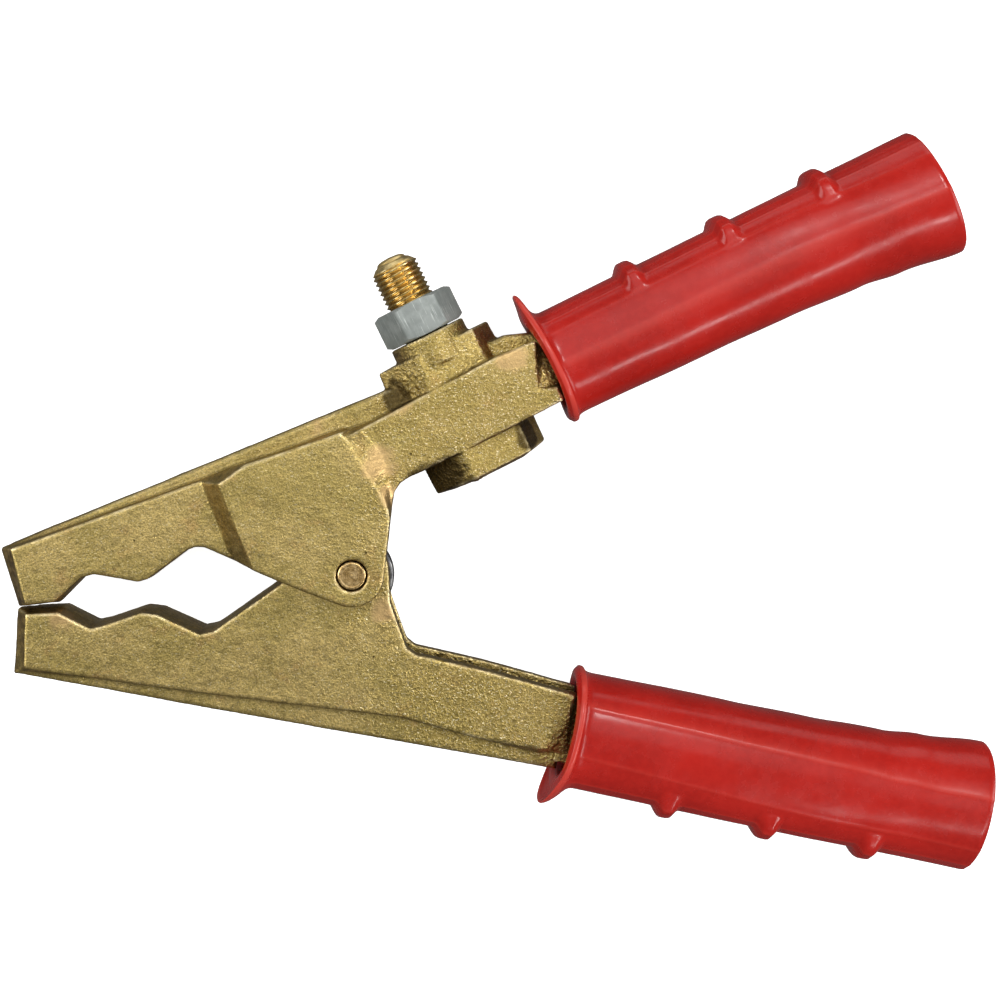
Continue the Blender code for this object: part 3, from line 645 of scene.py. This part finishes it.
def bead(at, degrees, lines):
    """Height of the mould's parting lines and creases, each running from one angle to another."""
    share = at / GRIP_LENGTH
    height = 0.0
    for first, last, tall, inner_width, outer_width in lines:
        away = degrees - (first + (last - first) * share)
        width = inner_width if away < 0.0 else outer_width
        height += tall * math.exp(-((away / width) ** 2))
    return height


# The mouth's lip, from the outside round to the inside: distance along, inset, rise and share of the lean.
LIP = ((4.6, 0.0, 0.02, 0.0), (4.0, 0.0, 0.06, 0.0), (3.5, 0.0, 0.13, 0.02), (3.1, 0.0, 0.23, 0.05),
       (2.8, 0.0, 0.36, 0.13), (2.6, 0.0, 0.52, 0.27), (2.45, 0.0, 0.70, 0.49), (2.3, 0.0, 0.86, 0.74),
       (2.05, 0.0, 0.96, 0.92), (1.7, 0.0, 1.01, 1.02), (1.3, 0.0, 1.0, 1.0), (1.0, 0.0, 0.93, 0.86),
       (0.85, 0.0, 0.80, 0.64), (0.7, 0.0, 0.64, 0.41), (0.5, 0.0, 0.46, 0.21), (0.28, 0.05, 0.28, 0.08),
       (0.12, 0.3, 0.14, 0.02), (0.1, 0.8, 0.05, 0.0), (0.3, 1.4, 0.0, 0.0), (0.8, 1.95, 0.0, 0.0),
       (1.8, GRIP_WALL, 0.0, 0.0))


def build_grip(name, node, body, origin, tilt, sign, shape, lines, material):
    """One sleeve: outside with nubs, the mouth's curled lip, and the inside.

    shape holds the extra width at the mouth, the lip's reach on the outer side and how far it leans back.
    """
    widening, reach, lean = shape
    count = GRIP_POINTS
    outside = sorted(
        set(np.round(np.linspace(5.2, GRIP_LENGTH - 0.4, 90), 3).tolist())
        | {round(place + offset, 3) for place in BUMP_PLACES for offset in np.linspace(-3.6, 3.6, 13)}
    )
    stations = [(GRIP_LENGTH, 1.2, 0.0, 0.0), (GRIP_LENGTH, 0.35, 0.0, 0.0)]
    stations += [(at, 0.0, 0.0, 0.0) for at in reversed(outside)]
    stations += LIP
    stations += [(at, GRIP_WALL, 0.0, 0.0) for at in np.linspace(8.0, GRIP_LENGTH - 0.4, 24)]
    stations += [(GRIP_LENGTH, 2.0, 0.0, 0.0)]
    rings, edges, painted_shade = [], [], []
    for at, inset, extra, lean_share in stations:
        half = 0.5 * (grip_width(at) + widening * (1.0 - (at / GRIP_LENGTH) ** 2))
        depth = grip_depth(at)
        ring = []
        for i in range(count):
            turn = 2.0 * math.pi * i / count
            degrees = (math.degrees(turn) + 180.0) % 360.0 - 180.0
            outer = max(0.0, math.sin(turn))
            lip = extra * (1.3 + reach * outer**3)
            skin = 1.0 if inset < 0.5 else 0.0
            ridge = bead(at, degrees, lines) * skin * (1.0 - min(1.0, 1.4 * extra))
            lift = nub(at, turn) * skin + ridge
            flat_share = smooth_share(0.5 - 0.8 * math.sin(turn))
            power = OUTER_SIDE_POWER + (FLAT_SIDE_POWER - OUTER_SIDE_POWER) * flat_share
            power += (1.0 - power) * smooth_share((at - ROUND_FROM) / ROUND_OVER)
            across = -half + (half - inset + lip + lift) * squared(math.sin(turn), power)
            deep = (depth - inset + min(lip, extra * 1.6) + lift) * squared(math.cos(turn), power)
            set_back = MOUTH_BOW * math.cos(turn) ** 2 * max(0.0, 1.0 - at / MOUTH_BOW_LENGTH)
            ring.append((at - lean * lean_share * outer**2 + set_back, sign * across, deep))
            # edge: painted highlight along the mould lines and on the lip's crest.
            edges.append(min(1.0, max(0.0, ridge) * 2.0 + (0.8 if 0.8 < extra else 0.0)))
            # Painted shade inside the sleeve.
            painted_shade.append(smooth_share((inset - 1.0) / 1.3) if at > 1.0 else 0.0)
        rings.append(ring)
    rings.append(rings[0])
    mesh = grid_mesh(name, rings, (False, False))
    write_attribute(mesh, "edge", np.array(edges + edges[:count]))
    write_attribute(mesh, "painted_shade", np.array(painted_shade + painted_shade[:count]))
    places, normals = read(mesh, "co"), read(mesh, "normal")
    places += normals * (SLEEVE_UNEVENNESS * MM * noise_field(places, 13.0, 2, 5.0 + sign))[:, None]
    mesh.vertices.foreach_set("co", places.astype(np.float32).ravel())
    obj = link("sleeve", mesh)
    weld = obj.modifiers.new("weld", "WELD")
    weld.merge_threshold = 0.002 * MM
    mesh = evaluated(obj, name)
    mesh.transform(Matrix.Translation(PIVOT + Vector((*origin, 0.0)) * MM) @ Matrix.Rotation(tilt, 4, "Z"))
    mesh.shade_smooth()
    mesh.materials.append(material)
    piece = link(name, mesh)
    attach(piece, body)
    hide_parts(node)


brass, red = cast_brass(), red_vinyl()
cast_piece("upper_lever", "upper_lever_casting", "upper", 1.2, brass)
cast_piece("lower_lever", "lower_lever_casting", "lower", 3.0, brass)
build_stud(turned_brass())
build_nut(zinc())
build_rivet(rivet_brass())
build_spring(spring_steel())
# Lines: first and last angle from the near side towards the outer edge, height, and its two half widths.
UPPER_LINES = ((1.0, 2.0, 0.16, 5.0, 1.6), (30.0, 36.0, 0.09, 1.5, 1.5), (47.0, 53.0, 0.12, 1.6, 1.6),
               (62.0, 66.0, 0.10, 1.6, 1.6), (-176.0, -176.0, 0.15, 2.0, 2.0))
LOWER_LINES = ((-32.0, -19.0, 0.20, 7.0, 1.8), (9.0, 30.0, 0.11, 1.5, 1.5), (44.0, 54.0, 0.12, 1.6, 1.6),
               (60.0, 66.0, 0.10, 1.6, 1.6), (-176.0, -176.0, 0.15, 2.0, 2.0))
build_grip("upper_grip_sleeve", "upper_grip", "upper", UPPER_GRIP, HANDLE_TILT, 1.0, (0.0, 5.2, 0.3),
           UPPER_LINES, red)
build_grip("lower_grip_sleeve", "lower_grip", "lower", LOWER_GRIP, LOWER_GRIP_TILT, -1.0, (1.6, 4.2, 3.2),
           LOWER_LINES, red)


# Floor, lights and camera


def floor():
    bm = bmesh.new()
    bmesh.ops.create_grid(bm, x_segments=24, y_segments=24, size=3.0)
    mesh = bpy.data.meshes.new("floor")
    bm.to_mesh(mesh)
    bm.free()
    look = Look("floor_white", roughness=0.9)
    look.shader.inputs["Specular IOR Level"].default_value = 0.1
    colour = look.mix(look.noise(60.0), (0.93, 0.93, 0.93), (0.95, 0.95, 0.95))
    look.shader.inputs["Emission Color"].default_value = (1.0, 1.0, 1.0, 1.0)
    look.shader.inputs["Emission Strength"].default_value = FLOOR_GLOW
    mesh.materials.append(look.wire(Base_Color=colour))
    obj = link("floor", mesh, Matrix.Translation((0.0, 0.0, cad_box[0][2] - 0.0002)))
    obj.visible_glossy = False
    obj.visible_diffuse = False


def area_light(name, place, target, size, power, along=None):
    """A white panel facing the target. Its long side follows along, or lies level."""
    light = bpy.data.lights.new(name, "AREA")
    light.shape = "RECTANGLE"
    light.size, light.size_y = size
    light.energy = power
    obj = bpy.data.objects.new(name, light)
    bpy.context.scene.collection.objects.link(obj)
    back = (Vector(place) - Vector(target)).normalized()
    side = Vector(along or Vector((0.0, 0.0, 1.0)).cross(back))
    side = (side - back * side.dot(back)).normalized()
    turn = Matrix((side, back.cross(side), back)).transposed().to_4x4()
    obj.matrix_world = Matrix.Translation(place) @ turn
    obj.visible_camera = False
    return obj


def world():
    """A soft sky: dim below and at the horizon, brighter overhead."""
    made = bpy.data.worlds.new("studio")
    made.use_nodes = True
    tree = made.node_tree
    back = next(node for node in tree.nodes if node.type == "BACKGROUND")
    split = tree.nodes.new("ShaderNodeSeparateXYZ")
    tree.links.new(tree.nodes.new("ShaderNodeTexCoord").outputs["Generated"], split.inputs[0])
    ramp = tree.nodes.new("ShaderNodeMapRange")
    tree.links.new(split.outputs["Z"], ramp.inputs["Value"])
    for index, number in zip((1, 2, 3, 4), (-0.20, 0.60, 0.13, 0.25)):
        ramp.inputs[index].default_value = number
    tree.links.new(ramp.outputs[0], back.inputs["Strength"])
    back.inputs["Color"].default_value = (1.0, 1.0, 1.0, 1.0)
    bpy.context.scene.world = made


def camera():
    made = bpy.data.cameras.new("camera")
    made.lens = 57.709
    made.sensor_width = 36.0
    made.shift_x, made.shift_y = 0.0398, -0.0895
    obj = bpy.data.objects.new("camera", made)
    bpy.context.scene.collection.objects.link(obj)
    place = PIVOT + Vector((16.46, 61.06, 393.6)) * MM
    target = PIVOT + Vector((26.3, 38.9, 0.0)) * MM
    back = (place - target).normalized()
    right = Vector((0.0, 1.0, 0.0)).cross(back).normalized()
    turn = Matrix((right, back.cross(right), back)).transposed().to_4x4()
    obj.matrix_world = Matrix.Translation(place) @ turn
    made.clip_start, made.clip_end = 0.01, 10.0
    bpy.context.scene.camera = obj
    bpy.context.scene.view_settings.view_transform = "Standard"


floor()
world()
camera()
# Lights in metres and watts: name, place, target, size and power. The streak lies along the upper sleeve.
for lamp in (
    ("overhead", (0.05, 0.33, 1.05), (0.0, 0.0, 0.0), (0.9, 0.9), 2.9),
    ("back_panel", (0.0, 1.0, 0.05), (0.0, 0.0, 0.02), (1.6, 0.5), 3.2),
    ("right_panel", (0.9, 0.0, 0.42), (0.0, 0.0, 0.02), (0.5, 0.5), 4.0),
    ("left_panel", (-0.7, 0.1, 0.45), (0.0, 0.02, 0.02), (0.5, 0.5), 3.2),
    ("key", (0.30, 0.45, 0.90), (0.0, 0.0, 0.01), (0.14, 0.14), 1.8),
    ("streak", (0.362, -0.365, 0.53), (0.06, 0.05, 0.02), (0.30, 0.035), 0.9, (0.898, 0.44, 0.0)),
):
    area_light(*lamp)
